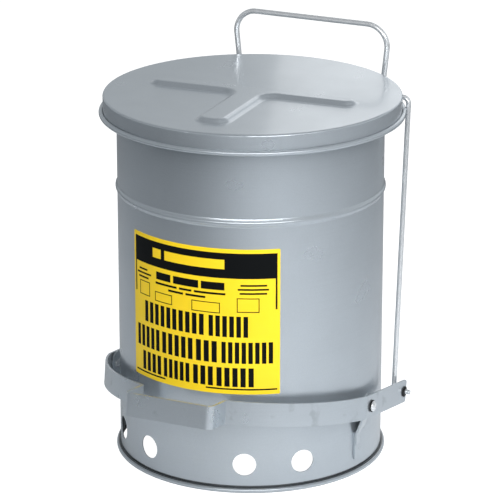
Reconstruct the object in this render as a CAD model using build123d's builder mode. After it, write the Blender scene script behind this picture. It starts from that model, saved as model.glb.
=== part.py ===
from build123d import *
import os
from math import asin, cos, degrees, radians, sin, sqrt, tan

os.makedirs("parts", exist_ok=True)

# A foot-operated safety can for oily waste: a round steel can on a raised bottom, a lid hinged at
# the rear, a pedal strap that wraps round the front, and a rod that links the pedal to the lid.
# Millimetres, +Z up, front towards -Y. The origin lies on the floor, midway between the front of
# the pedal and the back of the lid, so the can's own axis stands a little behind it.

# Driving dimensions
AXIS_Y = 10.0  # the can's axis, behind the origin
CAN_R = 144.75  # outside of the wall
SHEET = 1.0  # thickness of the body and lid sheet
RIM_WIRE_R = 1.7  # wire rolled into the three rims
RIM_TOP_Z = 401.6  # top of the body's rim
FOOT_FLAT = 0.15  # how far the base curl is worn flat where it stands
BEAD_Z = 302.7  # stiffening bead swaged round the wall
BEAD_HEIGHT = 2.0
BEAD_HALF = 5.0
BOTTOM_Z = 50.5  # middle of the raised bottom's sheet
BOTTOM_SHEET = 0.9
BOTTOM_CROWN = 3.0  # its middle is pressed up by this much
BOTTOM_CROWN_R = 104.0
BOTTOM_FLANGE = 13.0

VENT_Z = 31.75
VENT_R = 12.7
VENT_ANGLES = [-49.7, -24.4, 22.3, 47.6]  # from straight ahead, and again from straight behind

LID_TOP_Z = 403.0
LID_R = 161.5  # outside of the lid's skirt
LID_OFFSET_Y = 4.7  # the lid sits this far back on the can
LID_BEAD_Z = 383.5  # centre of the curl at the bottom of the lid's skirt
LID_CORNER_R = 1.5

# Raised T pressed into the lid, measured from the lid's axis, with its bar across the lid
RIDGE_HEIGHT = 4.4
RIDGE_TURN = 2.5  # the T is stamped a little askew
RIDGE_DRAFT = 42.0  # lean of its sides
RIDGE_SOFT_R = 6.4  # rounding of its sides, at the top and at the foot
RIDGE_BAR = (-117.0, 120.0, -13.0, 10.0)  # left, right, front and back
RIDGE_STEM = (-15.0, 21.0, -127.0)  # left, right and front
RIDGE_STEM_R = 14.0
RIDGE_ROOT_R = 15.0

HINGE_Y = 153.0  # the lid's hinge pin, behind the can's axis
HINGE_Z = 376.0
HINGE_PIN_R = 3.0
HINGE_EYE_R = 5.5
HINGE_HALF = 38.0  # half the width over the body's ears
HINGE_PLATE_Z = (326.0, 370.0)
HINGE_EAR_Z = (335.0, 379.0)  # where an ear grows out of the plate
HINGE_HEAD = (5.0, 2.2, 1.4)  # pin head: radius, thickness, edge rounding
LEAF_Z = (388.5, 400.5)
LEAF_FRONT_Y = 154.0
PLATE = 2.0  # thickness of brackets
RUNNING_GAP = 0.05  # radial clearance of a pin in its hole
SIDE_GAP = 0.5  # clearance between faces that slide past each other

HANDLE_R = 3.0  # handle wire
HANDLE_Y = 160.0
HANDLE_TOP_Z = 450.0
HANDLE_TOP_HALF = 94.6
HANDLE_FOOT_HALF = 85.6
HANDLE_KNEE_Z = 366.0  # where the legs turn forward to the can's wall
HANDLE_FOOT_Z = 318.0
CLIP_Z = (328.0, 344.0)
CLIP_SHEET = 1.6
CLIP_SPREAD = 9.5  # a clip's foot reaches this far each side of the wire, in degrees

STRAP_R = 162.0  # outside of the pedal strap's bend round the can
STRAP_WIDTH = 25.4
STRAP_THICK = 2.4
PEDAL_TILT = 8.5  # the front of the pedal stands up by this angle
PIVOT_Y = -28.0
PIVOT_Z = 78.6
PIVOT_R = 3.0
ARM_START_Y = -40.0  # the strap's bend ends and its straight arms begin
ARM_END_Y = 62.0  # rear end of the right arm
ARM_END_X = 161.0
STUB_END_Y = -10.0  # rear end of the left arm, which carries no rod
PAD_X = -9.0  # centre of the foot pad
PAD_WIDTH = 103.0
PAD_Y = -190.0
PAD_CORNER_R = 7.0
PAD_ROOT_R = 6.0
ARM_ROOT_R = 40.0
STRAP_END_R = 3.5
BRACKET_WIDTH = 18.0
BRACKET_Z = (17.0, 48.0)  # the part of a pivot bracket that lies on the wall
BRACKET_BEND_Z = (34.0, 46.0, 70.0)
BRACKET_TOP = 13.5  # above the pivot
SPACER = 1.2
RIVET_HEAD = (5.8, 3.0, 2.6)  # pivot rivet: head radius, thickness, edge rounding
RIVET_TAIL = (4.6, 1.4)
WASHER = (6.6, 1.0)
SPACER_R = 6.0

ROD_R = 2.75
ROD_X = 148.6
ROD_BEND_R = 6.5
ROD_FOOT_Y = 56.5  # the rod's hole near the end of the strap's right arm
ROD_HEAD = (86.0, 394.0)  # the rod's upper hook, in the lid's skirt
ROD_HOLE_SHIFT = 2.1  # the hole in the skirt is centred this far behind the hook
ROD_HOLE_R = 5.25
ROD_TIPS = (127.5, 167.5)  # x of the upper and the lower end
ROD_HEAD_NUT_X = 130.0
NUT = (6.0, 2.0)  # push-on nut: radius and thickness

LABEL_ANGLES = (-33.7, 37.4)
LABEL_Z = (112.5, 274.7)
LABEL_THICK = 0.35

# Worked out from these
WALL_MID = CAN_R - SHEET / 2
CURL_R = RIM_WIRE_R + SHEET / 2  # middle of the sheet rolled round a rim wire
CURL_OUT_R = RIM_WIRE_R + SHEET
BASE_CURL_Z = CURL_OUT_R - FOOT_FLAT
TOP_CURL_Z = RIM_TOP_Z - CURL_OUT_R
CURL_TURN = 290.0
LID_AXIS_Y = AXIS_Y + LID_OFFSET_Y
LID_MID_R = LID_R - SHEET / 2
TILT = radians(PEDAL_TILT)
ARM_START_X = sqrt(STRAP_R**2 - (ARM_START_Y / cos(TILT)) ** 2)
ARM_SLOPE = (ARM_END_X - ARM_START_X) / (ARM_END_Y - ARM_START_Y)
ROD_FOOT_Z = PIVOT_Z - (ROD_FOOT_Y - PIVOT_Y) * tan(TILT)


def arm_x(y):
    """Outside of the strap's straight arm at a distance y behind the can's axis."""
    return ARM_START_X + (y - ARM_START_Y) * ARM_SLOPE


def level(z, y=AXIS_Y):
    """Horizontal plane at height z, centred on the can's axis."""
    return Plane(origin=(0, y, z))


def side(x):
    """Upright plane facing +X: its own x runs to the rear from the can's axis and its y up."""
    return Plane(origin=(x, AXIS_Y, 0), x_dir=(0, 1, 0), z_dir=(1, 0, 0))


def radial(angle, radius, z, y=AXIS_Y):
    """Plane facing outwards on a round wall. The angle is measured from straight behind."""
    out = (sin(radians(angle)), cos(radians(angle)), 0)
    across = (cos(radians(angle)), -sin(radians(angle)), 0)
    return Plane(origin=(radius * out[0], y + radius * out[1], z), x_dir=across, z_dir=out)


def profile(y=AXIS_Y):
    """Upright plane through the can's or the lid's axis, for shapes that are revolved."""
    return Plane(origin=(0, y, 0), x_dir=(1, 0, 0), z_dir=(0, -1, 0))


def axis(y=AXIS_Y):
    return Axis((0, y, 0), (0, 0, 1))


def write(piece, name):
    piece.part.label = name
    export_step(piece.part, f"parts/{name}.step")


def sector(r_in, r_out, low, high):
    """Sketch of part of a flat ring between two angles, measured from +X."""
    with BuildLine() as outline:
        CenterArc((0, 0), r_out, low, high - low)
        CenterArc((0, 0), r_in, low, high - low)
        for end in (low, high):
            spoke = (cos(radians(end)), sin(radians(end)))
            Line((r_in * spoke[0], r_in * spoke[1]), (r_out * spoke[0], r_out * spoke[1]))
    make_face(outline.edges())


def rivets(spots, hole_r, r_in, r_out, head_r, head_h, y=AXIS_Y):
    """Round-headed rivets through a curved wall, one for each (angle, z), as separate solids."""
    with BuildPart() as group:
        for angle, z in spots:
            tail = r_in - head_h / 2 - RIVET_SEAT
            with BuildSketch(radial(angle, tail, z, y)):
                Circle(head_r * 0.8)
            extrude(amount=head_h / 2)
            with BuildSketch(radial(angle, tail, z, y)):
                Circle(hole_r)
            extrude(amount=r_out - tail)
            with BuildSketch(radial(angle, r_out, z, y)):
                Circle(head_r)
            extrude(amount=head_h, taper=35)
    return group


def cut_holes(spots, hole_r, r_in, r_out, y=AXIS_Y):
    """Radial holes cut through the part that is being built."""
    for angle, z in spots:
        with BuildSketch(radial(angle, r_in - 2, z, y)) as hole:
            Circle(hole_r)
        extrude(hole.sketch, amount=r_out - r_in + 4, mode=Mode.SUBTRACT)


RIVET_R = 2.0
RIVET_SEAT = 0.08  # a rivet's flat tail stands this far off the hollow of the wall
HINGE_RIVETS = [(a, z) for a in (-8.5, 8.5) for z in (334.0, 356.0)]
CLIP_ANGLE = degrees(asin(HANDLE_FOOT_HALF / (CAN_R + HANDLE_R + 0.1)))
CLIP_RIVETS = [(s * (CLIP_ANGLE + d), sum(CLIP_Z) / 2) for s in (-1, 1) for d in (-6.4, 6.4)]
LEAF_RIVETS = [(a, 394.5) for a in (-8.0, 0.0, 8.0)]

# Body of the can: one rolled wall with a wired rim at each end, a swaged bead and vent holes
with BuildPart() as can_body:
    with BuildSketch(profile()):
        with BuildLine():
            Line((WALL_MID, BASE_CURL_Z), (WALL_MID, BEAD_Z - BEAD_HALF))
            low = (WALL_MID + BEAD_HEIGHT / 2, BEAD_Z - BEAD_HALF / 2)
            high = (WALL_MID + BEAD_HEIGHT / 2, BEAD_Z + BEAD_HALF / 2)
            TangentArc((WALL_MID, BEAD_Z - BEAD_HALF), low, tangent=(0, 1))
            ThreePointArc(low, (WALL_MID + BEAD_HEIGHT, BEAD_Z), high)
            TangentArc((WALL_MID, BEAD_Z + BEAD_HALF), high, tangent=(0, -1))
            Line((WALL_MID, BEAD_Z + BEAD_HALF), (WALL_MID, TOP_CURL_Z))
            CenterArc((WALL_MID + CURL_R, BASE_CURL_Z), CURL_R, 180, CURL_TURN)
            CenterArc((WALL_MID + CURL_R, TOP_CURL_Z), CURL_R, 180, -CURL_TURN)
        trace(line_width=SHEET)
    revolve(axis=axis())
    for angle in VENT_ANGLES + [180 - a for a in VENT_ANGLES]:
        with BuildSketch(radial(180 - angle, CAN_R - 10, VENT_Z)):
            Circle(VENT_R)
        extrude(amount=20, mode=Mode.SUBTRACT)
    cut_holes(HINGE_RIVETS + CLIP_RIVETS, RIVET_R, CAN_R - SHEET, CAN_R)
    with BuildSketch(level(-CURL_OUT_R)):
        Circle(CAN_R + 20)
    extrude(amount=CURL_OUT_R, mode=Mode.SUBTRACT)
write(can_body, "can_body")

for name, z in (("base_rim_wire", BASE_CURL_Z), ("top_rim_wire", TOP_CURL_Z)):
    with BuildPart() as rim_wire:
        with BuildSketch(profile()):
            with Locations((WALL_MID + CURL_R, z)):
                Circle(RIM_WIRE_R)
        revolve(axis=axis())
    write(rim_wire, name)

# Raised bottom: a pressed pan whose upturned flange is spot-welded to the wall
with BuildPart() as raised_bottom:
    with BuildSketch(profile()):
        with BuildLine():
            edge = CAN_R - SHEET - BOTTOM_SHEET / 2
            crown = BOTTOM_Z + BOTTOM_CROWN
            FilletPolyline(
                (0, crown), (BOTTOM_CROWN_R, crown), (BOTTOM_CROWN_R + 6, BOTTOM_Z),
                (edge, BOTTOM_Z), (edge, BOTTOM_Z + BOTTOM_FLANGE), radius=3,
            )
        trace(line_width=BOTTOM_SHEET)
    revolve(axis=axis())
write(raised_bottom, "raised_bottom")

# Label wrapped round the front of the wall
with BuildPart() as label:
    with BuildSketch(level(LABEL_Z[0])):
        sector(CAN_R, CAN_R + LABEL_THICK, LABEL_ANGLES[0] - 90, LABEL_ANGLES[1] - 90)
    extrude(amount=LABEL_Z[1] - LABEL_Z[0])
write(label, "label")


def ridge_outline(shrink):
    """Outline of the lid's T about the lid's axis, drawn in by shrink."""
    left, right, front, back = RIDGE_BAR
    stem_left, stem_right, stem_front = RIDGE_STEM
    with BuildSketch() as outline:
        with BuildLine():
            Polyline(
                (left + shrink, back - shrink), (left + shrink, front + shrink),
                (stem_left + shrink, front + shrink), (stem_left + shrink, stem_front + shrink),
                (stem_right - shrink, stem_front + shrink), (stem_right - shrink, front + shrink),
                (right - shrink, front + shrink), (right - shrink, back - shrink), close=True,
            )
        make_face()
        fillet(outline.vertices().sort_by(Axis.Y)[:2], RIDGE_STEM_R - shrink)
        roots = [v for v in outline.vertices() if v.Y > stem_front / 2 and stem_left <= v.X <= stem_right]
        fillet(roots, RIDGE_ROOT_R + shrink)
        ends = [v for v in outline.vertices() if min(v.X - left, right - v.X) < shrink + 0.01]
        fillet(ends, (back - front) / 2 - shrink - 0.1)
    return outline.sketch


def on_ridge(edge, z):
    """Whether an edge lies level at height z on the lid's T, and not on the lid's rim."""
    box = edge.bounding_box()
    return abs(box.min.Z - z) < 0.01 and abs(box.max.Z - z) < 0.01 and box.size.X < LID_R


# Lid: flat top with a raised T, a short skirt, and a curl rolled round a wire
with BuildPart() as lid_shell:
    with BuildSketch(profile(LID_AXIS_Y)):
        with BuildLine():
            top = LID_TOP_Z - SHEET / 2
            FilletPolyline((0, top), (LID_MID_R, top), (LID_MID_R, LID_BEAD_Z), radius=LID_CORNER_R)
            CenterArc((LID_MID_R + CURL_R, LID_BEAD_Z), CURL_R, 180, CURL_TURN)
        trace(line_width=SHEET)
    revolve(axis=axis(LID_AXIS_Y))
    inset = SHEET * tan(radians(90 - RIDGE_DRAFT) / 2)
    for shrink, base, mode in ((0, LID_TOP_Z, Mode.ADD), (inset, LID_TOP_Z - SHEET, Mode.SUBTRACT)):
        plane = level(base, LID_AXIS_Y).rotated((0, 0, RIDGE_TURN))
        extrude(plane * ridge_outline(shrink), amount=RIDGE_HEIGHT, taper=RIDGE_DRAFT, mode=mode)
    for z, radius in (
        (LID_TOP_Z + RIDGE_HEIGHT, RIDGE_SOFT_R), (LID_TOP_Z, RIDGE_SOFT_R),
        (LID_TOP_Z + RIDGE_HEIGHT - SHEET, RIDGE_SOFT_R - SHEET), (LID_TOP_Z - SHEET, RIDGE_SOFT_R),
    ):
        fillet(edges().filter_by(lambda e: on_ridge(e, z)), radius)
    cut_holes(LEAF_RIVETS, RIVET_R, LID_R - SHEET, LID_R, LID_AXIS_Y)
    with BuildSketch(side(ROD_X - 20)):
        with Locations((ROD_HEAD[0] + ROD_HOLE_SHIFT, ROD_HEAD[1])):
            Circle(ROD_HOLE_R)
    extrude(amount=20, mode=Mode.SUBTRACT)
write(lid_shell, "lid_shell")

with BuildPart() as lid_rim_wire:
    with BuildSketch(profile(LID_AXIS_Y)):
        with Locations((LID_MID_R + CURL_R, LID_BEAD_Z)):
            Circle(RIM_WIRE_R)
    revolve(axis=axis(LID_AXIS_Y))
write(lid_rim_wire, "lid_rim_wire")

# Hinge: a bracket on the body's wall, a leaf inside the lid's skirt, and a headed pin
with BuildPart() as hinge_bracket:
    spread = degrees(asin(HINGE_HALF / CAN_R))
    with BuildSketch(level(HINGE_PLATE_Z[0])):
        sector(CAN_R, CAN_R + PLATE, 90 - spread, 90 + spread)
    extrude(amount=HINGE_PLATE_Z[1] - HINGE_PLATE_Z[0])
    for x in (-HINGE_HALF, HINGE_HALF - PLATE):
        with BuildSketch(side(x)):
            with Locations((HINGE_Y, HINGE_Z)):
                Circle(HINGE_EYE_R)
            with Locations((CAN_R - 10, HINGE_EAR_Z[0])):
                Rectangle(10, HINGE_EAR_Z[1] - HINGE_EAR_Z[0], align=Align.MIN)
            make_hull()
        extrude(amount=PLATE)
    with BuildSketch(side(-HINGE_HALF)):
        with Locations((HINGE_Y, HINGE_Z)):
            Circle(HINGE_PIN_R)
    extrude(amount=2 * HINGE_HALF, mode=Mode.SUBTRACT)
    with BuildSketch(level(0)):
        Circle(CAN_R)
    extrude(amount=RIM_TOP_Z, mode=Mode.SUBTRACT)
    cut_holes(HINGE_RIVETS, RIVET_R, CAN_R, CAN_R + PLATE)
write(hinge_bracket, "hinge_bracket")
write(rivets(HINGE_RIVETS, RIVET_R, CAN_R - SHEET, CAN_R + PLATE, 4.5, 2.2), "hinge_bracket_rivets")

with BuildPart() as hinge_leaf:
    leaf_half = HINGE_HALF - PLATE - SIDE_GAP
    spread = degrees(asin(leaf_half / LID_R))
    with BuildSketch(level(LEAF_Z[0], LID_AXIS_Y)):
        sector(LID_R - SHEET - PLATE, LID_R - SHEET, 90 - spread, 90 + spread)
    extrude(amount=LEAF_Z[1] - LEAF_Z[0])
    for x in (-leaf_half, leaf_half - PLATE):
        with BuildSketch(side(x)):
            with Locations((HINGE_Y, HINGE_Z)):
                Circle(HINGE_EYE_R)
            with Locations((LEAF_FRONT_Y, LEAF_Z[0])):
                Rectangle(6, LEAF_Z[1] - LEAF_Z[0], align=Align.MIN)
            make_hull()
        extrude(amount=PLATE)
    with BuildSketch(side(-HINGE_HALF)):
        with Locations((HINGE_Y, HINGE_Z)):
            Circle(HINGE_PIN_R + RUNNING_GAP)
    extrude(amount=2 * HINGE_HALF, mode=Mode.SUBTRACT)
    cut_holes(LEAF_RIVETS, RIVET_R, LID_R - SHEET - PLATE, LID_R - SHEET, LID_AXIS_Y)
write(hinge_leaf, "hinge_leaf")
leaf_rivets = rivets(LEAF_RIVETS, RIVET_R, LID_R - SHEET - PLATE, LID_R, 3.6, 1.8, LID_AXIS_Y)
write(leaf_rivets, "hinge_leaf_rivets")

with BuildPart() as hinge_pin:
    head_r, head_thick, head_round = HINGE_HEAD
    with BuildSketch(side(-HINGE_HALF - head_thick)):
        with Locations((HINGE_Y, HINGE_Z)):
            Circle(head_r)
    extrude(amount=head_thick)
    fillet(hinge_pin.edges().group_by(Axis.X)[0], head_round)
    with BuildSketch(side(-HINGE_HALF)):
        with Locations((HINGE_Y, HINGE_Z)):
            Circle(HINGE_PIN_R)
    extrude(amount=2 * HINGE_HALF + 6)
    chamfer(hinge_pin.edges().group_by(Axis.X)[-1], 0.6)
write(hinge_pin, "hinge_pin")


def push_nut(bore_r, x, y, z):
    """Sprung push-on nut on a shaft along X: a dished washer with a raised hub."""
    out_r, thick = NUT
    with BuildPart() as nut:
        with BuildSketch(side(x)):
            with Locations((y, z)):
                Circle(out_r)
        extrude(amount=thick / 2)
        with BuildSketch(side(x + thick / 2)):
            with Locations((y, z)):
                Circle(out_r - 0.8)
        extrude(amount=thick / 2, taper=30)
        with BuildSketch(side(x)):
            with Locations((y, z)):
                Circle(bore_r)
        extrude(amount=thick, mode=Mode.SUBTRACT)
    return nut


write(push_nut(HINGE_PIN_R, HINGE_HALF, HINGE_Y, HINGE_Z), "hinge_pin_nut")

# Carrying handle: one bent wire whose feet run down the wall under two saddle clips
foot_y = sqrt((CAN_R + HANDLE_R + 0.1) ** 2 - HANDLE_FOOT_HALF**2)
leg = [
    (HANDLE_FOOT_HALF, AXIS_Y + foot_y, HANDLE_FOOT_Z),
    (HANDLE_FOOT_HALF, AXIS_Y + foot_y, HANDLE_KNEE_Z),
    (HANDLE_FOOT_HALF, AXIS_Y + HANDLE_Y, HANDLE_KNEE_Z),
    (HANDLE_TOP_HALF, AXIS_Y + HANDLE_Y, HANDLE_TOP_Z),
]
with BuildPart() as carry_handle:
    with BuildLine() as handle_path:
        FilletPolyline(
            *leg, *[(-x, y, z) for x, y, z in reversed(leg)], radius=[14, 14, 24, 24, 14, 14]
        )
    with BuildSketch(Plane(origin=handle_path.line @ 0, z_dir=handle_path.line % 0)):
        Circle(HANDLE_R)
    sweep(path=handle_path.line)
write(carry_handle, "carry_handle")

for name, s in (("handle_clip_left", -1), ("handle_clip_right", 1)):
    with BuildPart() as clip:
        with BuildSketch(level(CLIP_Z[0])):
            middle = 90 - s * CLIP_ANGLE
            sector(CAN_R, CAN_R + CLIP_SHEET, middle - CLIP_SPREAD, middle + CLIP_SPREAD)
            with Locations((s * HANDLE_FOOT_HALF, foot_y)):
                Circle(HANDLE_R + CLIP_SHEET)
                Circle(HANDLE_R + 0.05, mode=Mode.SUBTRACT)
            Circle(CAN_R, mode=Mode.SUBTRACT)
        extrude(amount=CLIP_Z[1] - CLIP_Z[0])
        spots = [spot for spot in CLIP_RIVETS if spot[0] * s > 0]
        cut_holes(spots, RIVET_R, CAN_R, CAN_R + CLIP_SHEET)
    write(clip, name)
write(rivets(CLIP_RIVETS, RIVET_R, CAN_R - SHEET, CAN_R + CLIP_SHEET, 4.0, 2.0), "handle_clip_rivets")

# Pedal: a flat strap bent round the front of the can, with a square jog in it for the foot
pedal_plane = Plane(
    origin=(0, AXIS_Y + PIVOT_Y, PIVOT_Z), x_dir=(1, 0, 0), z_dir=(0, sin(TILT), cos(TILT))
)


def along(y):
    """Distance along the tilted strap from the pivots to a place y behind the can's axis."""
    return (y - PIVOT_Y) / cos(TILT)


with BuildPart() as pedal_strap:
    with BuildSketch(pedal_plane.offset(-STRAP_WIDTH / 2)):
        with Locations((0, along(0))):
            Circle(STRAP_R)
        with Locations((0, along(ARM_START_Y))):
            Rectangle(400, 400, align=(Align.CENTER, Align.MAX), mode=Mode.INTERSECT)
        with BuildLine():
            far = ARM_END_Y + 40
            Polyline(
                (-ARM_START_X, along(ARM_START_Y)), (ARM_START_X, along(ARM_START_Y)),
                (arm_x(far), along(far)), (-arm_x(far), along(far)), close=True,
            )
        make_face()
        with Locations((PAD_X, along(PAD_Y))):
            Rectangle(PAD_WIDTH, 80, align=(Align.CENTER, Align.MIN))
        corners = vertices().sort_by(Axis.Y)
        fillet(corners[0:2], PAD_CORNER_R)
        fillet(corners[2:4], PAD_ROOT_R)
        fillet(corners[4:6], ARM_ROOT_R)
        offset(amount=-STRAP_THICK, mode=Mode.SUBTRACT)
        with Locations((0, along(ARM_END_Y))):
            Rectangle(400, 100, align=(Align.CENTER, Align.MIN), mode=Mode.SUBTRACT)
        with Locations((0, along(STUB_END_Y))):
            Rectangle(200, 200, align=(Align.MAX, Align.MIN), mode=Mode.SUBTRACT)
    extrude(amount=STRAP_WIDTH)
    fillet(edges().filter_by(lambda e: abs(e.length - STRAP_THICK) < 0.1), STRAP_END_R)
    with BuildSketch(side(-200)):
        with Locations((PIVOT_Y, PIVOT_Z)):
            Circle(PIVOT_R + RUNNING_GAP)
    extrude(amount=400, mode=Mode.SUBTRACT)
    with BuildSketch(side(100)):
        with Locations((ROD_FOOT_Y, ROD_FOOT_Z)):
            Circle(ROD_R + RUNNING_GAP)
    extrude(amount=100, mode=Mode.SUBTRACT)
write(pedal_strap, "pedal_strap")

# Pivots: on each side a bracket welded to the wall carries a rivet that the strap turns on
strap_in = arm_x(PIVOT_Y) - STRAP_THICK
strap_out = arm_x(PIVOT_Y)
tab_out = strap_in - SIDE_GAP - SPACER


def disc(x, radius, thick, y=PIVOT_Y, z=PIVOT_Z):
    """Round plate facing +X, added to the part that is being built."""
    with BuildSketch(side(x)) as face:
        with Locations((y, z)):
            Circle(radius)
    extrude(face.sketch, amount=thick)


def ring(x, out_r, thick):
    """Flat washer on the pivot's rivet."""
    with BuildPart() as washer:
        with BuildSketch(side(x)):
            with Locations((PIVOT_Y, PIVOT_Z)):
                Circle(out_r)
                Circle(PIVOT_R, mode=Mode.SUBTRACT)
        extrude(amount=thick)
    return washer


with BuildPart() as pivot_bracket:
    foot_mid = CAN_R + PLATE / 2
    low = asin((PIVOT_Y - BRACKET_WIDTH / 2) / foot_mid)
    high = asin((PIVOT_Y + BRACKET_WIDTH / 2) / foot_mid)
    with BuildSketch(level(BRACKET_Z[0])):
        sector(CAN_R, CAN_R + PLATE, degrees(low), degrees(high))
    extrude(amount=BRACKET_Z[1] - BRACKET_Z[0])
    foot_x = sqrt(foot_mid**2 - PIVOT_Y**2)
    tab_x = tab_out - PLATE / 2
    with BuildSketch(profile(AXIS_Y + PIVOT_Y + BRACKET_WIDTH / 2)):
        with BuildLine():
            heights = (*BRACKET_BEND_Z, PIVOT_Z + BRACKET_TOP)
            FilletPolyline(*zip((foot_x, foot_x, tab_x, tab_x), heights), radius=8)
        trace(line_width=PLATE)
    extrude(amount=BRACKET_WIDTH)
    fillet(edges().filter_by(Axis.X).group_by(Axis.Z)[-1], BRACKET_WIDTH / 2 - 0.5)
    with BuildSketch(level(0)):
        Circle(CAN_R)
    extrude(amount=120, mode=Mode.SUBTRACT)
    with BuildSketch(side(100)):
        with Locations((PIVOT_Y, PIVOT_Z)):
            Circle(PIVOT_R)
    extrude(amount=100, mode=Mode.SUBTRACT)

with BuildPart() as pivot_rivet:
    head_x = strap_out + SIDE_GAP + WASHER[1]
    disc(head_x, RIVET_HEAD[0], RIVET_HEAD[1])
    fillet(pivot_rivet.edges().group_by(Axis.X)[-1], RIVET_HEAD[2])
    disc(tab_out - PLATE, PIVOT_R, head_x - tab_out + PLATE)
    disc(tab_out - PLATE - RIVET_TAIL[1], *RIVET_TAIL)

pivot_pieces = {
    "pivot_bracket": pivot_bracket,
    "pivot_rivet": pivot_rivet,
    "pivot_washer": ring(strap_out + SIDE_GAP, *WASHER),
    "pivot_spacer": ring(tab_out, SPACER_R, SPACER),
}
for name, piece in pivot_pieces.items():
    write(piece, f"{name}_right")
    with BuildPart() as left:
        mirror(piece.part, about=Plane.YZ)
    write(left, f"{name}_left")

# Link rod: a wire with a hook at each end, one out through the strap and one in through the lid
with BuildPart() as link_rod:
    with BuildLine() as rod_path:
        FilletPolyline(
            (ROD_TIPS[0], AXIS_Y + ROD_HEAD[0], ROD_HEAD[1]),
            (ROD_X, AXIS_Y + ROD_HEAD[0], ROD_HEAD[1]),
            (ROD_X, AXIS_Y + ROD_FOOT_Y, ROD_FOOT_Z),
            (ROD_TIPS[1], AXIS_Y + ROD_FOOT_Y, ROD_FOOT_Z),
            radius=ROD_BEND_R,
        )
    with BuildSketch(Plane(origin=rod_path.line @ 0, z_dir=rod_path.line % 0)):
        Circle(ROD_R)
    sweep(path=rod_path.line)
write(link_rod, "link_rod")
foot_nut_x = arm_x(ROD_FOOT_Y) + SIDE_GAP
write(push_nut(ROD_R, foot_nut_x, ROD_FOOT_Y, ROD_FOOT_Z), "rod_foot_nut")
write(push_nut(ROD_R, ROD_HEAD_NUT_X, *ROD_HEAD), "rod_head_nut")
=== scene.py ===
import math

import bmesh
import bpy
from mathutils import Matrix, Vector


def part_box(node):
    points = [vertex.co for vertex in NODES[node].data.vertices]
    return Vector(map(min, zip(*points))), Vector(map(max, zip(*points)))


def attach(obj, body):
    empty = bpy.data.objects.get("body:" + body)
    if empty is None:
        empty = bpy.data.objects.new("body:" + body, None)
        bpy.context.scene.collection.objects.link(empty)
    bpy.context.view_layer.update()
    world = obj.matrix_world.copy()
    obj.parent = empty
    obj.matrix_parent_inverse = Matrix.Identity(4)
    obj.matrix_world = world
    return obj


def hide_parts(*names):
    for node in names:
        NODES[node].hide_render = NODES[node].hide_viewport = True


bl_info = {
    "name": "Oily Waste Safety Can",
    "version": (1, 0, 0),
    "blender": (4, 5, 0),
    "location": "View3D > Sidebar > Safety Can",
    "description": "Finishes, label and small pressed parts of a foot-operated safety can",
    "category": "Object",
}

# Metres and radians. Places are taken from the frame's own boxes where they can be; the other sizes
# are those of the new pieces and of the parts of the wall that they touch.
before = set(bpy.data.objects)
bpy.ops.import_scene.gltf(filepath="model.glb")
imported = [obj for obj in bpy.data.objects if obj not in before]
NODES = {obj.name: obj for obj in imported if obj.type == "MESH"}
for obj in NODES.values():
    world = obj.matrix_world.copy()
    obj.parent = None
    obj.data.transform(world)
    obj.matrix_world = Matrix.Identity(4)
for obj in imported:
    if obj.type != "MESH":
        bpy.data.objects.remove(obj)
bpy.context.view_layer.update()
MM = 0.001


def middle(node):
    """Centre of a CAD node's box."""
    low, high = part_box(node)
    return (low + high) / 2


AXIS_Y = middle("can_body").y
LABEL_LOW, LABEL_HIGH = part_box("label")
LABEL_R = AXIS_Y - LABEL_LOW.y
LABEL_FACE = 0.35 * MM
LABEL_LEFT = math.asin(LABEL_LOW.x / LABEL_R)
LABEL_RIGHT = math.asin(LABEL_HIGH.x / LABEL_R)
LABEL_LIFT = 0.02 * MM  # air between the wall and the label
LABEL_SHEET = LABEL_FACE - 0.03 * MM  # its outer face stays just inside the frame's
WALL_R = LABEL_R - LABEL_FACE
BEAD_Z, BEAD_HALF, BEAD_HEIGHT = 302.7 * MM, 5.0 * MM, 2.0 * MM  # swaged bead of the wall
CREASE_Z, CREASE_HALF = 6.3 * MM, 1.2 * MM  # painted shade line where the wall meets the top of the base curl
DARKENING_TOP_Z = 45 * MM  # the enamel darkens from the floor up to here
SEAM_ANGLE = math.radians(-62.0)  # from straight behind, clear of the handle and the vent holes
SEAM_Z = (6.5 * MM, 396.0 * MM)
SEAM_ROWS = 6  # rows of edges on each half of the bead
WELD_Z = (28.0 * MM, 39.0 * MM)
BRACKET_PLATE = 2.0 * MM
SINK = 0.1 * MM  # how far an added piece reaches into the sheet it lies on
NUT_R, NUT_SHEET = 6.0 * MM, 0.5 * MM
NUT_STEPS = ((0.7, 0.1), (0.8, 0.35), (0.5, 0.25), (0.55, 0.15), (0.55, 0.4))  # mm in and mm up
TEETH_R = 4.05 * MM  # the teeth lie inside this radius
GAP_COSINE = 0.80  # how wide the gap between two teeth is cut
SMOOTH = math.radians(35)  # edges sharper than this stay sharp
BEVEL_ANGLE = math.radians(50)


def linear(hex_colour):
    """Linear RGB of an sRGB hex colour such as "BBC2C8"."""
    channels = [int(hex_colour[i : i + 2], 16) / 255 for i in (0, 2, 4)]
    return tuple(c / 12.92 if c <= 0.04045 else ((c + 0.055) / 1.055) ** 2.4 for c in channels)


# ---------------------------------------------------------------- sizes and colours


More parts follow.
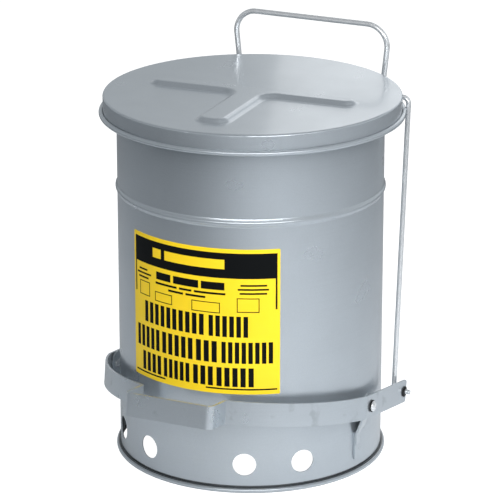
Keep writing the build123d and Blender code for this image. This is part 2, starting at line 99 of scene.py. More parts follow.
class CanSizes(bpy.types.PropertyGroup):
    label_corner: bpy.props.FloatProperty(
        name="Label corner", description="Radius of the label's corners",
        default=1.6 * MM, subtype="DISTANCE", unit="LENGTH",
    )
    nut_teeth: bpy.props.IntProperty(
        name="Nut teeth", description="Sprung teeth of each push-on nut", default=4, min=3, max=8,
    )
    rivet_crown: bpy.props.FloatProperty(
        name="Rivet crown", description="Height of a pivot rivet's formed crown",
        default=2.9 * MM, subtype="DISTANCE", unit="LENGTH",
    )
    weld_radius: bpy.props.FloatProperty(
        name="Spot weld", description="Radius of the dimple that a spot weld leaves",
        default=2.6 * MM, subtype="DISTANCE", unit="LENGTH",
    )
    seam_width: bpy.props.FloatProperty(
        name="Seam width", description="Width of the lock seam down the rear of the wall",
        default=7.0 * MM, subtype="DISTANCE", unit="LENGTH",
    )
    seam_height: bpy.props.FloatProperty(
        name="Seam height", description="How far the lock seam stands out of the wall",
        default=0.9 * MM, subtype="DISTANCE", unit="LENGTH",
    )


def colour(title, says, hex_colour):
    """Colour setting of the panel, with its default given in sRGB."""
    return bpy.props.FloatVectorProperty(
        name=title, description=says, default=linear(hex_colour), subtype="COLOR", size=3, min=0, max=1,
    )


class CanColours(bpy.types.PropertyGroup):
    enamel: colour("Enamel", "Silver-grey enamel of the can, lid and pedal", "BBC2C8")
    zinc: colour("Zinc", "Bright zinc plate of the wires, pin and rivets", "EBEDEF")
    black: colour("Black finish", "Phosphated spring steel of nuts and washers", "1B1C1E")
    yellow: colour("Label yellow", "Ground of the label", "F7D21E")
    ink: colour("Label ink", "Black print of the label", "0B0D0E")
    floor: colour("Floor", "Pale floor under the can", "F4F5F5")


# ---------------------------------------------------------------- modelling helpers


def clear():
    """Leave edit mode and deselect everything."""
    if bpy.context.object is not None and bpy.context.object.mode != "OBJECT":
        bpy.ops.object.mode_set(mode="OBJECT")
    bpy.ops.object.select_all(action="DESELECT")


def choose(elements, test):
    """Select in edit mode the elements that pass a test, and nothing else."""
    mesh = bmesh.from_edit_mesh(bpy.context.object.data)
    bpy.ops.mesh.select_all(action="DESELECT")
    for element in getattr(mesh, elements):
        if test(element):
            element.select_set(True)
    mesh.select_flush_mode()
    bmesh.update_edit_mesh(bpy.context.object.data)


def finish(name, material, body):
    """Give the active object its name, place, shading, finish and body."""
    if bpy.context.object.mode != "OBJECT":
        bpy.ops.object.mode_set(mode="OBJECT")
    piece = bpy.context.object
    piece.name = name
    piece.data.name = name
    bpy.ops.object.select_all(action="DESELECT")
    piece.select_set(True)
    bpy.ops.object.transform_apply(location=True, rotation=True, scale=True)
    bpy.ops.object.shade_smooth_by_angle(angle=SMOOTH)
    piece.data.materials.clear()
    piece.data.materials.append(material)
    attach(piece, body)
    clear()
    return piece


def apply_modifier(kind, **settings):
    """Add a modifier to the active object, set it and apply it."""
    bpy.ops.object.modifier_add(type=kind)
    modifier = bpy.context.object.modifiers[-1]
    for key, value in settings.items():
        setattr(modifier, key, value)
    bpy.ops.object.modifier_apply(modifier=modifier.name)


# ---------------------------------------------------------------- material helpers


def add(tree, kind, inputs=None, **settings):
    """Add a node with its settings. Each input is fed by another node's output or set to a value.
    In a colour mix input 0 is the factor, 6 and 7 are the colours, and output 2 is the result."""
    node = tree.nodes.new("ShaderNode" + kind)
    for key, value in settings.items():
        setattr(node, key, value)
    for key, value in (inputs or {}).items():
        if isinstance(value, bpy.types.NodeSocket):
            tree.links.new(value, node.inputs[key])
        else:
            node.inputs[key].default_value = value
    return node


def new_material(name):
    """Node material with a Principled shader, and its tree, or no tree if it was made before."""
    material = bpy.data.materials.get(name)
    if material is not None:
        return material, None, None
    material = bpy.data.materials.new(name)
    material.use_nodes = True
    tree = material.node_tree
    tree.nodes.clear()
    shader = add(tree, "BsdfPrincipled")
    add(tree, "OutputMaterial", {"Surface": shader.outputs["BSDF"]})
    return material, tree, shader


def shade(colour, factor=1.0):
    """A linear colour made lighter or darker, as RGBA."""
    return (*(min(1.0, c * factor) for c in colour), 1.0)


# ---------------------------------------------------------------- materials

# A texture's Scale is how often its pattern repeats in a metre: 1600 is once in 0.6 mm, 340 once in
# 3 mm and 22 once in 45 mm.


def silver_enamel(name, low_darkening_and_crease_shade=0.0, scuff=0.0):
    """Stoving enamel with aluminium flake, sprayed on sheet steel: a satin silver-grey under a thin
    clear skin, with faint orange peel, cloudy flake, and dulled patches where it is handled."""
    material, tree, shader = new_material(name)
    if tree is None:
        return material
    base = bpy.context.scene.safety_can_colours.enamel
    place = add(tree, "TexCoord").outputs["Object"]
    # flake: real flake is 0.05 mm, drawn at about 0.6 mm so that it shows at all
    flake = add(tree, "TexNoise", {"Vector": place, "Scale": 1600.0, "Detail": 2.0}).outputs["Fac"]
    cloud = add(tree, "TexNoise", {"Vector": place, "Scale": 22.0, "Detail": 3.0}).outputs["Fac"]
    # rolling lines of the sheet run round the can, 0.7 mm apart
    rolled = add(tree, "Mapping", {"Vector": place, "Scale": (3.0, 3.0, 420.0)}).outputs["Vector"]
    lines = add(tree, "TexNoise", {"Vector": rolled, "Scale": 3.5, "Detail": 3.0}).outputs["Fac"]
    sparkle = add(tree, "MapRange", {"Value": flake, "From Min": 0.3, "From Max": 0.72}).outputs[0]
    flakes = {0: sparkle, 6: shade(base, 0.94), 7: shade(base, 1.06)}
    tone = add(tree, "Mix", flakes, data_type="RGBA").outputs[2]
    patches = {"Value": cloud, "From Min": 0.35, "From Max": 0.7, "To Max": 0.3}
    cloudy = add(tree, "MapRange", patches).outputs[0]
    tone = add(tree, "Mix", {0: cloudy, 6: tone, 7: shade(base, 0.90)}, data_type="RGBA").outputs[2]
    streaks = {"Value": lines, "From Min": 0.45, "From Max": 0.75, "To Max": 0.3}
    streak = add(tree, "MapRange", streaks).outputs[0]
    tone = add(tree, "Mix", {0: streak, 6: tone, 7: shade(base, 0.90)}, data_type="RGBA").outputs[2]
    gloss = add(tree, "MapRange", {"Value": cloud, "To Min": 0.24, "To Max": 0.34}).outputs[0]
    if scuff:
        rub = add(tree, "TexNoise", {"Vector": place, "Scale": 60.0, "Detail": 6.0}).outputs["Fac"]
        rubbed = {"Value": rub, "From Min": 0.6, "From Max": 0.7, "To Max": scuff}
        worn = add(tree, "MapRange", rubbed).outputs[0]
        tone = add(tree, "Mix", {0: worn, 6: tone, 7: shade(base, 0.7)}, data_type="RGBA").outputs[2]
        gloss = add(tree, "Math", {0: worn, 1: 0.2, 2: gloss}, operation="MULTIPLY_ADD").outputs[0]
    if low_darkening_and_crease_shade:
        # darker towards the bottom of the wall, and a painted shade line in the crease above the base
        # curl
        height = add(tree, "SeparateXYZ", {"Vector": place}).outputs["Z"]
        toward_floor = {"Value": height, "From Max": DARKENING_TOP_Z, "To Min": low_darkening_and_crease_shade, "To Max": 0.0}
        low = add(tree, "MapRange", toward_floor).outputs[0]
        tone = add(tree, "Mix", {0: low, 6: tone, 7: shade(base, 0.72)}, data_type="RGBA").outputs[2]
        # painted shade: a near-black line in the crease above the base curl
        line = {0: height, 1: CREASE_Z, 2: CREASE_HALF}
        crease = add(tree, "Math", line, operation="COMPARE").outputs[0]
        crease_shade = add(tree, "Math", {0: crease, 1: 0.9}, operation="MULTIPLY").outputs[0]
        tone = add(tree, "Mix", {0: crease_shade, 6: tone, 7: shade(base, 0.10)}, data_type="RGBA").outputs[2]
    tree.links.new(tone, shader.inputs["Base Color"])
    tree.links.new(gloss, shader.inputs["Roughness"])
    peel = add(tree, "TexNoise", {"Vector": place, "Scale": 340.0, "Detail": 2.0}).outputs["Fac"]
    bump = add(tree, "Bump", {"Height": peel, "Strength": 0.05, "Distance": 0.12 * MM})
    tree.links.new(bump.outputs["Normal"], shader.inputs["Normal"])
    shader.inputs["Metallic"].default_value = 0.8
    shader.inputs["Coat Weight"].default_value = 0.55
    shader.inputs["Coat Roughness"].default_value = 0.10
    return material


def zinc_plate(name):
    """Bright zinc plate on drawn steel wire: a very pale, cool metal, smooth and satin, with a faint
    mottle from passivation."""
    material, tree, shader = new_material(name)
    if tree is None:
        return material
    base = bpy.context.scene.safety_can_colours.zinc
    place = add(tree, "TexCoord").outputs["Object"]
    mottle = add(tree, "TexNoise", {"Vector": place, "Scale": 140.0, "Detail": 3.0}).outputs["Fac"]
    patch = add(tree, "MapRange", {"Value": mottle, "From Min": 0.3, "From Max": 0.7}).outputs[0]
    mottled = {0: patch, 6: shade(base, 0.93), 7: shade(base, 1.02)}
    tone = add(tree, "Mix", mottled, data_type="RGBA").outputs[2]
    tree.links.new(tone, shader.inputs["Base Color"])
    rough = add(tree, "MapRange", {"Value": mottle, "To Min": 0.20, "To Max": 0.30}).outputs[0]
    tree.links.new(rough, shader.inputs["Roughness"])
    grain = add(tree, "TexNoise", {"Vector": place, "Scale": 900.0, "Detail": 2.0}).outputs["Fac"]
    bump = add(tree, "Bump", {"Height": grain, "Strength": 0.03, "Distance": 0.03 * MM})
    tree.links.new(bump.outputs["Normal"], shader.inputs["Normal"])
    shader.inputs["Metallic"].default_value = 0.8
    return material


BARE_STEEL = linear("8A8D90")


def black_phosphate(name):
    """Phosphated and oiled spring steel: near black, satin, with a crystalline grain and bare
    steel showing at rubbed spots."""
    material, tree, shader = new_material(name)
    if tree is None:
        return material
    base = bpy.context.scene.safety_can_colours.black
    place = add(tree, "TexCoord").outputs["Object"]
    grain = add(tree, "TexVoronoi", {"Vector": place, "Scale": 2400.0}).outputs["Distance"]
    rub = add(tree, "TexNoise", {"Vector": place, "Scale": 420.0, "Detail": 5.0}).outputs["Fac"]
    crystals = {0: grain, 6: shade(base, 0.7), 7: shade(base, 1.5)}
    tone = add(tree, "Mix", crystals, data_type="RGBA").outputs[2]
    rubbed = {"Value": rub, "From Min": 0.66, "From Max": 0.76, "To Max": 0.4}
    bare = add(tree, "MapRange", rubbed).outputs[0]
    tone = add(tree, "Mix", {0: bare, 6: tone, 7: shade(BARE_STEEL)}, data_type="RGBA").outputs[2]
    tree.links.new(tone, shader.inputs["Base Color"])
    rough = add(tree, "MapRange", {"Value": grain, "To Min": 0.36, "To Max": 0.6}).outputs[0]
    tree.links.new(rough, shader.inputs["Roughness"])
    bump = add(tree, "Bump", {"Height": grain, "Strength": 0.2, "Distance": 0.05 * MM})
    tree.links.new(bump.outputs["Normal"], shader.inputs["Normal"])
    shader.inputs["Metallic"].default_value = 0.5
    return material


# Print of the label, in millimetres from its top left corner: each block's left, right, top and
# bottom edges, and whether it is solid ink, a row of letter-sized bars, or bare ground within ink
LABEL_W = LABEL_R * (LABEL_RIGHT - LABEL_LEFT) / MM
LABEL_H = (LABEL_HIGH.z - LABEL_LOW.z) / MM
BAR_PITCH = 7.3
BAR_SHARE = 0.66  # of a bar's pitch that is ink
PRINT = (
    (3.0, LABEL_W - 3.0, 4.5, 32.5, "ink"),
    (33.0, 45.0, 12.0, 22.5, "bare"), (50.0, 121.0, 12.0, 22.5, "bare"),
    (3.0, 5.0, 4.5, 67.0, "ink"), (LABEL_W - 5.0, LABEL_W - 3.0, 4.5, 67.0, "ink"),
    (3.0, 50.0, LABEL_H - 6.4, LABEL_H - 4.6, "ink"),
    (100.0, LABEL_W - 3.0, LABEL_H - 6.4, LABEL_H - 4.6, "ink"),
    (19.5, 57.5, 74.5, 98.0, "bars"), (60.0, 98.0, 74.5, 98.0, "bars"),
    (103.5, 146.0, 74.5, 98.0, "bars"),
    (6.0, 42.0, 103.5, 127.5, "bars"), (46.0, 85.0, 103.5, 127.5, "bars"),
    (89.0, 112.5, 103.5, 127.5, "bars"), (117.5, 172.5, 103.5, 127.5, "bars"),
    (15.0, 44.0, 132.5, 154.0, "bars"), (48.0, 81.0, 132.5, 154.0, "bars"),
    (85.5, 108.0, 132.5, 154.0, "bars"), (112.0, 152.0, 132.5, 154.0, "bars"),
    (38.0, 58.0, 37.5, 46.0, "ink"), (61.5, 92.0, 37.5, 46.0, "ink"),
    (95.0, 121.0, 37.5, 46.0, "ink"),
    (37.0, 66.0, 49.0, 51.4, "ink"), (69.0, 84.0, 49.0, 51.4, "ink"),
    (87.0, 122.0, 49.0, 51.4, "ink"),
    (55.0, 74.0, 54.0, 56.4, "ink"), (77.0, 100.0, 54.0, 56.4, "ink"),
    (10.0, 24.0, 39.0, 41.0, "ink"), (138.0, 166.0, 39.0, 41.0, "ink"),
    (6.5, 30.0, 43.5, 45.5, "ink"), (135.0, 168.0, 43.5, 45.5, "ink"),
    (9.0, 26.0, 48.0, 50.0, "ink"), (137.0, 166.0, 48.0, 50.0, "ink"),
    (11.0, 28.0, 53.0, 69.0, "ink"), (12.0, 27.0, 54.0, 68.0, "bare"),
    (36.0, 60.0, 60.0, 71.0, "ink"), (37.0, 59.0, 61.0, 70.0, "bare"),
    (84.0, 116.0, 60.0, 72.0, "ink"), (85.0, 115.0, 61.0, 71.0, "bare"),
    (134.0, 158.0, 54.0, 70.0, "ink"), (135.0, 157.0, 55.0, 69.0, "bare"),
)


def label_vinyl():
    """Screen-printed gloss vinyl: a saturated yellow ground with opaque black ink that lies slightly
    flatter, and a smooth skin that picks up soft reflections."""
    material, tree, shader = new_material("screen_printed_vinyl")
    if tree is None:
        return material
    colours = bpy.context.scene.safety_can_colours
    place = add(tree, "TexCoord").outputs["Object"]
    split = add(tree, "SeparateXYZ", {"Vector": place}).outputs
    forward = add(tree, "Math", {0: AXIS_Y, 1: split["Y"]}, operation="SUBTRACT").outputs[0]
    turn = add(tree, "Math", {0: split["X"], 1: forward}, operation="ARCTAN2").outputs[0]
    reach = LABEL_R / MM
    from_left = {0: turn, 1: reach, 2: -LABEL_LEFT * reach}
    across = add(tree, "Math", from_left, operation="MULTIPLY_ADD").outputs[0]
    from_top = {0: split["Z"], 1: -1 / MM, 2: LABEL_HIGH.z / MM}
    down = add(tree, "Math", from_top, operation="MULTIPLY_ADD").outputs[0]
    black = add(tree, "Value").outputs[0]
    black.default_value = 0.0
    for left, right, top, bottom, kind in PRINT:
        wide = {0: across, 1: (left + right) / 2, 2: (right - left) / 2}
        tall = {0: down, 1: (top + bottom) / 2, 2: (bottom - top) / 2}
        in_width = add(tree, "Math", wide, operation="COMPARE").outputs[0]
        in_height = add(tree, "Math", tall, operation="COMPARE").outputs[0]
        block = add(tree, "Math", {0: in_width, 1: in_height}, operation="MULTIPLY").outputs[0]
        if kind == "bars":
            # a whole number of bars, so that the row ends with a full one
            pitch = (right - left) / (round((right - left) / BAR_PITCH) - 1 + BAR_SHARE)
            count = {0: across, 1: 1 / pitch, 2: -left / pitch}
            step = add(tree, "Math", count, operation="MULTIPLY_ADD").outputs[0]
            step = add(tree, "Math", {0: step}, operation="FRACT").outputs[0]
            bar = add(tree, "Math", {0: step, 1: BAR_SHARE}, operation="LESS_THAN").outputs[0]
            block = add(tree, "Math", {0: block, 1: bar}, operation="MULTIPLY").outputs[0]
        lay = "SUBTRACT" if kind == "bare" else "MAXIMUM"
        black = add(tree, "Math", {0: black, 1: block}, operation=lay).outputs[0]
    fade = add(tree, "TexNoise", {"Vector": place, "Scale": 35.0, "Detail": 3.0}).outputs["Fac"]
    faded = {0: fade, 6: shade(colours.yellow, 0.94), 7: shade(colours.yellow, 1.03)}
    yellow = add(tree, "Mix", faded, data_type="RGBA").outputs[2]
    tone = add(tree, "Mix", {0: black, 6: yellow, 7: shade(colours.ink)}, data_type="RGBA").outputs[2]
    tree.links.new(tone, shader.inputs["Base Color"])
    rough = add(tree, "MapRange", {"Value": black, "To Min": 0.30, "To Max": 0.48}).outputs[0]
    tree.links.new(rough, shader.inputs["Roughness"])
    shine = add(tree, "MapRange", {"Value": black, "To Min": 0.45, "To Max": 0.08}).outputs[0]
    tree.links.new(shine, shader.inputs["Specular IOR Level"])
    ripple = add(tree, "TexNoise", {"Vector": place, "Scale": 45.0, "Detail": 2.0}).outputs["Fac"]
    bump = add(tree, "Bump", {"Height": ripple, "Strength": 0.15, "Distance": 0.15 * MM})
    tree.links.new(bump.outputs["Normal"], shader.inputs["Normal"])
    return material


# ---------------------------------------------------------------- stage

STAGE_R = 9.0
HORIZON, ZENITH = linear("E4E9EC"), linear("7C8186")
SKY_STRENGTH = 0.75
SKY_LEAN = (0.18, 0.10, -1.0)  # the sky darkens upwards, and less so towards the right and the rear
# name, place, width and height, power, and whether the can's gloss mirrors the lamp
LAMPS = (
    ("overhead", (0.7, -0.6, 1.5), (1.4, 1.4), 40.0, False),
    ("front_softbox", (1.3, -2.4, 1.5), (3.4, 0.45), 32.0, True),
    ("back_panel", (-0.15, 1.5, 0.96), (1.0, 0.9), 1.9, True),
)
POOL_RADII = (0.25, 1.35)  # painted pool of light: the table is painted pale close to the can and grey farther off
POOL_CENTRE = (-0.04, -0.22, 0.0)
POOL_LIT_TONE, POOL_UNLIT_TONE = linear("D2D5D8"), linear("9C9FA2")
# painted shade: a dark round patch on the table, which the upper wall mirrors as a dark band
SHADE_PATCH_CENTRE = (-0.7, -1.3, 0.0)
SHADE_PATCH_RADII = (0.5, 1.5)
SHADE_PATCH_COLOUR = linear("5E6266")
TARGET = Vector((0, AXIS_Y, 0.2253))  # what the lamps and the camera point at
CAMERA_TURN, CAMERA_RISE = math.radians(25.0), math.radians(18.74)
CAMERA_DISTANCE = 3.331


def floor_paper():
    """Backdrop paper on a light table: matt, nearly white, glowing a little from below."""
    material, tree, shader = new_material("light_table_paper")
    if tree is None:
        return material
    base = bpy.context.scene.safety_can_colours.floor
    place = add(tree, "TexCoord").outputs["Object"]
    fibre = add(tree, "TexNoise", {"Vector": place, "Scale": 900.0, "Detail": 3.0}).outputs["Fac"]
    fibres = {0: fibre, 6: shade(base, 0.29), 7: shade(base, 0.30)}
    tone = add(tree, "Mix", fibres, data_type="RGBA").outputs[2]
    tree.links.new(tone, shader.inputs["Base Color"])
    shader.inputs["Roughness"].default_value = 0.85
    shader.inputs["Emission Color"].default_value = (1, 1, 1, 1)
    shader.inputs["Emission Strength"].default_value = 0.97
    return material


def grey_table():
    """Matt laminate under the paper, painted pale near the can and grey farther off as a painted pool of
    light, with a dark round patch of painted shade that the upper wall mirrors.
    """
    material, tree, shader = new_material("grey_laminate")
    if tree is None:
        return material
    place = add(tree, "TexCoord").outputs["Object"]
    speck = add(tree, "TexNoise", {"Vector": place, "Scale": 300.0, "Detail": 2.0}).outputs["Fac"]
    speckled = {0: speck, 6: shade(POOL_LIT_TONE, 0.97), 7: shade(POOL_LIT_TONE)}
    tone = add(tree, "Mix", speckled, data_type="RGBA").outputs[2]
    # painted pool of light: pale near the can, fading to grey farther off
    far = add(tree, "VectorMath", {0: place, 1: POOL_CENTRE}, operation="DISTANCE").outputs["Value"]
    fading = {"Value": far, "From Min": POOL_RADII[0], "From Max": POOL_RADII[1]}
    pool_falloff = add(tree, "MapRange", fading).outputs[0]
    tone = add(tree, "Mix", {0: pool_falloff, 6: tone, 7: shade(POOL_UNLIT_TONE)}, data_type="RGBA").outputs[2]
    # painted shade: the dark round patch, blended into the table at its rim
    away = add(tree, "VectorMath", {0: place, 1: SHADE_PATCH_CENTRE}, operation="DISTANCE").outputs["Value"]
    rim = {"Value": away, "From Min": SHADE_PATCH_RADII[0], "From Max": SHADE_PATCH_RADII[1]}
    edge = add(tree, "MapRange", rim).outputs[0]
    tone = add(tree, "Mix", {0: edge, 6: shade(SHADE_PATCH_COLOUR), 7: tone}, data_type="RGBA").outputs[2]
    tree.links.new(tone, shader.inputs["Base Color"])
    shader.inputs["Roughness"].default_value = 0.7
    return material


# ---------------------------------------------------------------- pieces


class SAFETYCAN_OT_finishes(bpy.types.Operator):
    """Give every sheet, wire, rivet and nut of the frame its finish"""

    bl_idname = "safety_can.finishes"
    bl_label = "Finishes"

    def execute(self, context):
        # the body's enamel is darker towards the bottom, with a painted shade line in the crease above
        # the base curl
        body = silver_enamel("silver_stoving_enamel", low_darkening_and_crease_shade=0.25)
        lid = silver_enamel("silver_stoving_enamel_lid")
        worn = silver_enamel("silver_stoving_enamel_worn", scuff=0.5)
        wire = zinc_plate("bright_zinc_wire")
        black = black_phosphate("black_phosphate")
        finishes = {
            body: ("can_body", "raised_bottom", "pivot_bracket_left", "pivot_bracket_right"),
            lid: ("lid_shell", "hinge_leaf", "hinge_bracket", "handle_clip_left", "handle_clip_right"),
            worn: ("pedal_strap",),
            wire: (
                "base_rim_wire", "top_rim_wire", "lid_rim_wire", "carry_handle", "link_rod", "hinge_pin",
                "hinge_bracket_rivets", "hinge_leaf_rivets", "handle_clip_rivets",
                "pivot_spacer_left", "pivot_spacer_right",
                "pivot_rivet_left", "pivot_rivet_right",
            ),
            black: (
                "pivot_washer_left", "pivot_washer_right",
                "rod_foot_nut", "rod_head_nut", "hinge_pin_nut",
            ),
        }
        for material, names in finishes.items():
            for name in names:
                mesh = NODES[name].data
                for i in range(len(mesh.materials)):
                    mesh.materials[i] = material
        return {"FINISHED"}


def turned(name, profile, sides=48):
    """Turned solid about +Z at the origin: a disc drawn up through (radius, height) steps."""
    clear()
    radius, height = profile[0]
    bpy.ops.mesh.primitive_circle_add(
        vertices=sides, radius=radius, fill_type="NGON", location=(0, 0, height)
    )
    bpy.context.object.name = name
    bpy.ops.object.mode_set(mode="EDIT")
    bpy.ops.mesh.select_all(action="SELECT")
    for next_radius, next_height in profile[1:]:
        bpy.ops.mesh.extrude_region_move(TRANSFORM_OT_translate={"value": (0, 0, next_height - height)})
        grow = next_radius / radius
        bpy.ops.transform.resize(value=(grow, grow, 1), center_override=(0, 0, next_height))
        radius, height = next_radius, next_height
    bpy.ops.mesh.select_all(action="SELECT")
    bpy.ops.mesh.normals_make_consistent(inside=False)
    bpy.ops.object.mode_set(mode="OBJECT")
    return bpy.context.object


def copy_of(original):
    """Copy of a finished shape with its own mesh, selected and active."""
    clear()
    original.select_set(True)
    bpy.context.view_layer.objects.active = original
    bpy.ops.object.duplicate(linked=False)
    return bpy.context.object


def discard(original):
    """Remove a shape that was only there to be copied."""
    clear()
    original.select_set(True)
    bpy.ops.object.delete()


def aim(piece, place, direction):
    """Stand a shape that was made along +Z at a place, pointing in a direction."""
    piece.location = place
    piece.rotation_euler = Vector(direction).to_track_quat("Z", "Y").to_euler()


class SAFETYCAN_OT_push_nuts(bpy.types.Operator):
    """Sprung push-on nuts: a dished rim with teeth that bite on the wire"""

    bl_idname = "safety_can.push_nuts"
    bl_label = "Push-on nuts"

    def execute(self, context):
        teeth = context.scene.safety_can_sizes.nut_teeth
        clear()
        bpy.ops.mesh.primitive_circle_add(vertices=24 * teeth, radius=NUT_R, fill_type="NGON")
        bpy.ops.object.mode_set(mode="EDIT")
        bpy.ops.mesh.select_all(action="SELECT")
        # flat rim, dished shoulder, raised collar and the teeth that stand up round the wire
        for inset, rise in NUT_STEPS:
            bpy.ops.mesh.inset(thickness=inset * MM, depth=0)
            bpy.ops.transform.translate(value=(0, 0, rise * MM))
        bpy.ops.mesh.delete(type="FACE")

        def between_teeth(face):
            place = face.calc_center_median()
            spoke = math.atan2(place.y, place.x) * teeth
            return place.xy.length < TEETH_R and math.cos(spoke) > GAP_COSINE

        choose("faces", between_teeth)
        bpy.ops.mesh.delete(type="FACE")
        bpy.ops.object.mode_set(mode="OBJECT")
        apply_modifier("SOLIDIFY", thickness=NUT_SHEET, offset=-1.0)
        apply_modifier(
            "BEVEL", width=0.08 * MM, segments=2, limit_method="ANGLE", angle_limit=BEVEL_ANGLE
        )
        original = context.object
        for node, facing, body in (
            ("rod_foot_nut", 1, "rod"), ("rod_head_nut", -1, "rod"), ("hinge_pin_nut", 1, "can"),
        ):
            low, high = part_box(node)
            place = (low + high) / 2
            place.x = low.x + NUT_SHEET if facing > 0 else high.x - NUT_SHEET
            aim(copy_of(original), place, (facing, 0, 0))
            piece = finish(f"sprung_{node}", black_phosphate("black_phosphate"), body)
            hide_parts(node)
        discard(original)
        return {"FINISHED"}


class SAFETYCAN_OT_pivot_rivets(bpy.types.Operator):
    """Headed rivets that the pedal strap turns on, with a dimple in the formed crown"""

    bl_idname = "safety_can.pivot_rivets"
    bl_label = "Pivot rivets"

    def execute(self, context):
        low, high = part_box("pivot_rivet_right")
        length = (high.x - low.x) / MM
        crown = context.scene.safety_can_sizes.rivet_crown / MM
        head = length - 3.0  # the head is 3 mm thick
        top = head + crown
        # millimetres: radius and height, from the tail behind the bracket to the dimple in the crown
        profile = (
            (4.2, 0.0), (4.6, 0.4), (4.6, 1.2), (4.4, 1.4), (3.0, 1.4), (3.0, head),
            (5.6, head), (5.8, head + 0.2), (5.8, head + 0.8), (5.5, head + 1.5),
            (4.8, head + 2.1), (3.6, head + 2.6), (2.4, head + 0.99 * crown),
            (1.7, top), (1.4, top - 0.3), (0.9, top - 0.6), (0.3, top - 0.7),
        )
        original = turned("rivet", [(radius * MM, height * MM) for radius, height in profile])
        for node, facing in (("pivot_rivet_right", 1), ("pivot_rivet_left", -1)):
            low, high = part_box(node)
            place = (low + high) / 2
            place.x = low.x if facing > 0 else high.x
            aim(copy_of(original), place, (facing, 0, 0))
            piece = finish(f"formed_{node}", zinc_plate("bright_zinc_wire"), "can")
            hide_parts(node)
        discard(original)
        return {"FINISHED"}


class SAFETYCAN_OT_spot_welds(bpy.types.Operator):
    """Dimples that the spot welds leave in the feet of the pivot brackets"""

    bl_idname = "safety_can.spot_welds"
    bl_label = "Spot welds"

    def execute(self, context):
        radius = context.scene.safety_can_sizes.weld_radius / MM
        profile = (
            (radius, 0.0), (radius, 0.10), (0.90 * radius, 0.22), (0.76 * radius, 0.26),
            (0.62 * radius, 0.18), (0.45 * radius, 0.08), (0.15 * radius, 0.06),
        )
        original = turned("weld", [(r * MM, h * MM) for r, h in profile], sides=32)
        foot_r = WALL_R + BRACKET_PLATE  # face of a bracket's foot
        across = middle("pivot_bracket_right").y - AXIS_Y
        for side, name in ((1, "right"), (-1, "left")):
            out = Vector((side * math.sqrt(foot_r**2 - across**2), across, 0)) / foot_r
            welds = []
            for height in WELD_Z:
                weld = copy_of(original)
                aim(weld, Vector((0, AXIS_Y, height)) + (foot_r - SINK / 2) * out, out)
                welds.append(weld)
            clear()
            for weld in welds:
                weld.select_set(True)
            context.view_layer.objects.active = welds[0]
            bpy.ops.object.join()
            finish(f"spot_welds_{name}", silver_enamel("silver_stoving_enamel"), "can")
        discard(original)
        return {"FINISHED"}


class SAFETYCAN_OT_lock_seam(bpy.types.Operator):
    """Folded lock seam down the rear of the wall, which runs over the swaged bead"""

    bl_idname = "safety_can.lock_seam"
    bl_label = "Lock seam"

    def execute(self, context):
        sizes = context.scene.safety_can_sizes
        clear()
        bottom, top = SEAM_Z
        bpy.ops.mesh.primitive_cylinder_add(
            vertices=360, radius=WALL_R - SINK, depth=top - bottom, end_fill_type="NOTHING",
            location=(0, AXIS_Y, (top + bottom) / 2),
        )
        bpy.ops.object.mode_set(mode="EDIT")
        half = sizes.seam_width / 2 / WALL_R
        for angle, keep in ((SEAM_ANGLE - half, 1), (SEAM_ANGLE + half, -1)):
            bpy.ops.mesh.select_all(action="SELECT")
            normal = (-keep * math.cos(angle), keep * math.sin(angle), 0)
            bpy.ops.mesh.bisect(plane_co=(0, AXIS_Y, 0), plane_no=normal, clear_outer=True)
        # rows of edges across the bead, each moved out to the bead's own rounded section
        rows = [BEAD_Z + BEAD_HALF * i / SEAM_ROWS for i in range(-SEAM_ROWS, SEAM_ROWS + 1)]
        for height in rows:
            bpy.ops.mesh.select_all(action="SELECT")
            bpy.ops.mesh.bisect(plane_co=(0, 0, height), plane_no=(0, 0, 1))
        centre = (0, AXIS_Y, BEAD_Z)
        for height in rows[1:-1]:
            choose("verts", lambda v: abs(v.co.z + (top + bottom) / 2 - height) < SINK / 2)
            rise = BEAD_HEIGHT * (1 + math.cos(math.pi * (height - BEAD_Z) / BEAD_HALF)) / 2
            grow = 1 + rise / WALL_R
            bpy.ops.transform.resize(value=(grow, grow, 1), center_override=centre)
        bpy.ops.object.mode_set(mode="OBJECT")
        apply_modifier("SOLIDIFY", thickness=sizes.seam_height + SINK, offset=1.0)
        apply_modifier(
            "BEVEL", width=0.35 * MM, segments=3, limit_method="ANGLE", angle_limit=BEVEL_ANGLE
        )
        finish("lock_seam", silver_enamel("silver_stoving_enamel"), "can")
        return {"FINISHED"}


class SAFETYCAN_OT_label(bpy.types.Operator):
    """Vinyl label wrapped round the front of the wall"""

    bl_idname = "safety_can.label"
    bl_label = "Label"

    def execute(self, context):
        sizes = context.scene.safety_can_sizes
        clear()
        height = LABEL_HIGH.z - LABEL_LOW.z
        bpy.ops.mesh.primitive_cylinder_add(
            vertices=360, radius=WALL_R + LABEL_LIFT, depth=height, end_fill_type="NOTHING",
            location=(0, AXIS_Y, (LABEL_LOW.z + LABEL_HIGH.z) / 2),
        )
        bpy.ops.object.mode_set(mode="EDIT")
        for angle, keep in ((LABEL_LEFT, -1), (LABEL_RIGHT, 1)):
            bpy.ops.mesh.select_all(action="SELECT")
            normal = (keep * math.cos(angle), keep * math.sin(angle), 0)
            bpy.ops.mesh.bisect(plane_co=(0, AXIS_Y, 0), plane_no=normal, clear_outer=True)
        choose("verts", lambda v: len(v.link_edges) == 2)
        bpy.ops.mesh.bevel(offset=sizes.label_corner, segments=5, affect="VERTICES")
        bpy.ops.object.mode_set(mode="OBJECT")
        apply_modifier("SOLIDIFY", thickness=LABEL_SHEET, offset=1.0)
        piece = finish("front_label", label_vinyl(), "can")
        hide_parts("label")
        return {"FINISHED"}


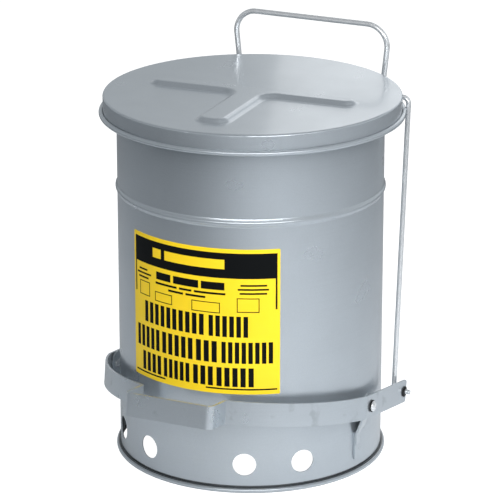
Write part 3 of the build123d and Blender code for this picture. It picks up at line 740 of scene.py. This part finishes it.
class SAFETYCAN_OT_stage(bpy.types.Operator):
    """Pale floor, soft studio light and the camera"""

    bl_idname = "safety_can.stage"
    bl_label = "Stage"

    def execute(self, context):
        scene = context.scene
        clear()
        # the camera sees the glowing paper; the can's gloss and the bounced light see the grey table
        for name, material, seen in (("floor", floor_paper(), True), ("table", grey_table(), False)):
            bpy.ops.mesh.primitive_circle_add(vertices=96, radius=STAGE_R, fill_type="NGON")
            sheet = context.object
            sheet.name = name
            sheet.data.name = name
            sheet.data.materials.append(material)
            sheet.visible_camera = seen
            sheet.visible_glossy = not seen
            sheet.visible_diffuse = not seen
            sheet.visible_shadow = False
            clear()

        world = bpy.data.worlds.new("studio")
        scene.world = world
        world.use_nodes = True
        tree = world.node_tree
        tree.nodes.clear()
        ray = add(tree, "TexCoord").outputs["Generated"]
        slope = {0: ray, 1: SKY_LEAN}
        lean = add(tree, "VectorMath", slope, operation="DOT_PRODUCT").outputs["Value"]
        level = add(tree, "MapRange", {"Value": lean, "From Min": -0.9, "From Max": 0.1}).outputs[0]
        fading = {0: level, 6: shade(ZENITH), 7: shade(HORIZON)}
        sky = add(tree, "Mix", fading, data_type="RGBA").outputs[2]
        background = add(tree, "Background", {"Color": sky, "Strength": SKY_STRENGTH}).outputs[0]
        add(tree, "OutputWorld", {"Surface": background})
        scene.view_settings.view_transform = "Standard"

        for name, place, extent, power, mirrored in LAMPS:
            bpy.ops.object.light_add(type="AREA", location=place)
            lamp = context.object
            lamp.name = name
            lamp.data.shape = "RECTANGLE"
            lamp.data.size, lamp.data.size_y = extent
            lamp.data.energy = power
            lamp.visible_glossy = mirrored
            lamp.visible_camera = False
            lamp.rotation_euler = (TARGET - Vector(place)).to_track_quat("-Z", "Y").to_euler()
        clear()

        bpy.ops.object.camera_add()
        camera = context.object
        camera.name = "camera"
        back = Vector((math.sin(CAMERA_TURN), -math.cos(CAMERA_TURN), math.tan(CAMERA_RISE))).normalized()
        camera.location = TARGET + CAMERA_DISTANCE * back
        camera.rotation_euler = (-back).to_track_quat("-Z", "Y").to_euler()
        camera.data.lens = 219.2
        camera.data.sensor_width = 36.0
        camera.data.shift_x = -0.0013
        camera.data.clip_end = 60.0
        scene.camera = camera
        clear()
        return {"FINISHED"}


class SAFETYCAN_PT_panel(bpy.types.Panel):
    """Pieces of the safety can, in the order in which they are made"""

    bl_label = "Safety Can"
    bl_idname = "SAFETYCAN_PT_panel"
    bl_space_type = "VIEW_3D"
    bl_region_type = "UI"
    bl_category = "Safety Can"

    def draw(self, context):
        for group in (context.scene.safety_can_sizes, context.scene.safety_can_colours):
            for key in group.__annotations__:
                self.layout.prop(group, key)
        for step in STEPS:
            self.layout.operator(step.bl_idname)


STEPS = (
    SAFETYCAN_OT_finishes,
    SAFETYCAN_OT_label,
    SAFETYCAN_OT_push_nuts,
    SAFETYCAN_OT_pivot_rivets,
    SAFETYCAN_OT_spot_welds,
    SAFETYCAN_OT_lock_seam,
    SAFETYCAN_OT_stage,
)
CLASSES = (CanSizes, CanColours) + STEPS + (SAFETYCAN_PT_panel,)


def register():
    for kind in CLASSES:
        bpy.utils.register_class(kind)
    bpy.types.Scene.safety_can_sizes = bpy.props.PointerProperty(type=CanSizes)
    bpy.types.Scene.safety_can_colours = bpy.props.PointerProperty(type=CanColours)


def unregister():
    del bpy.types.Scene.safety_can_colours
    del bpy.types.Scene.safety_can_sizes
    for kind in reversed(CLASSES):
        bpy.utils.unregister_class(kind)


def main():
    register()
    bpy.ops.safety_can.finishes()
    bpy.ops.safety_can.label()
    bpy.ops.safety_can.push_nuts()
    bpy.ops.safety_can.pivot_rivets()
    bpy.ops.safety_can.spot_welds()
    bpy.ops.safety_can.lock_seam()
    bpy.ops.safety_can.stage()


if __name__ == "__main__":
    main()
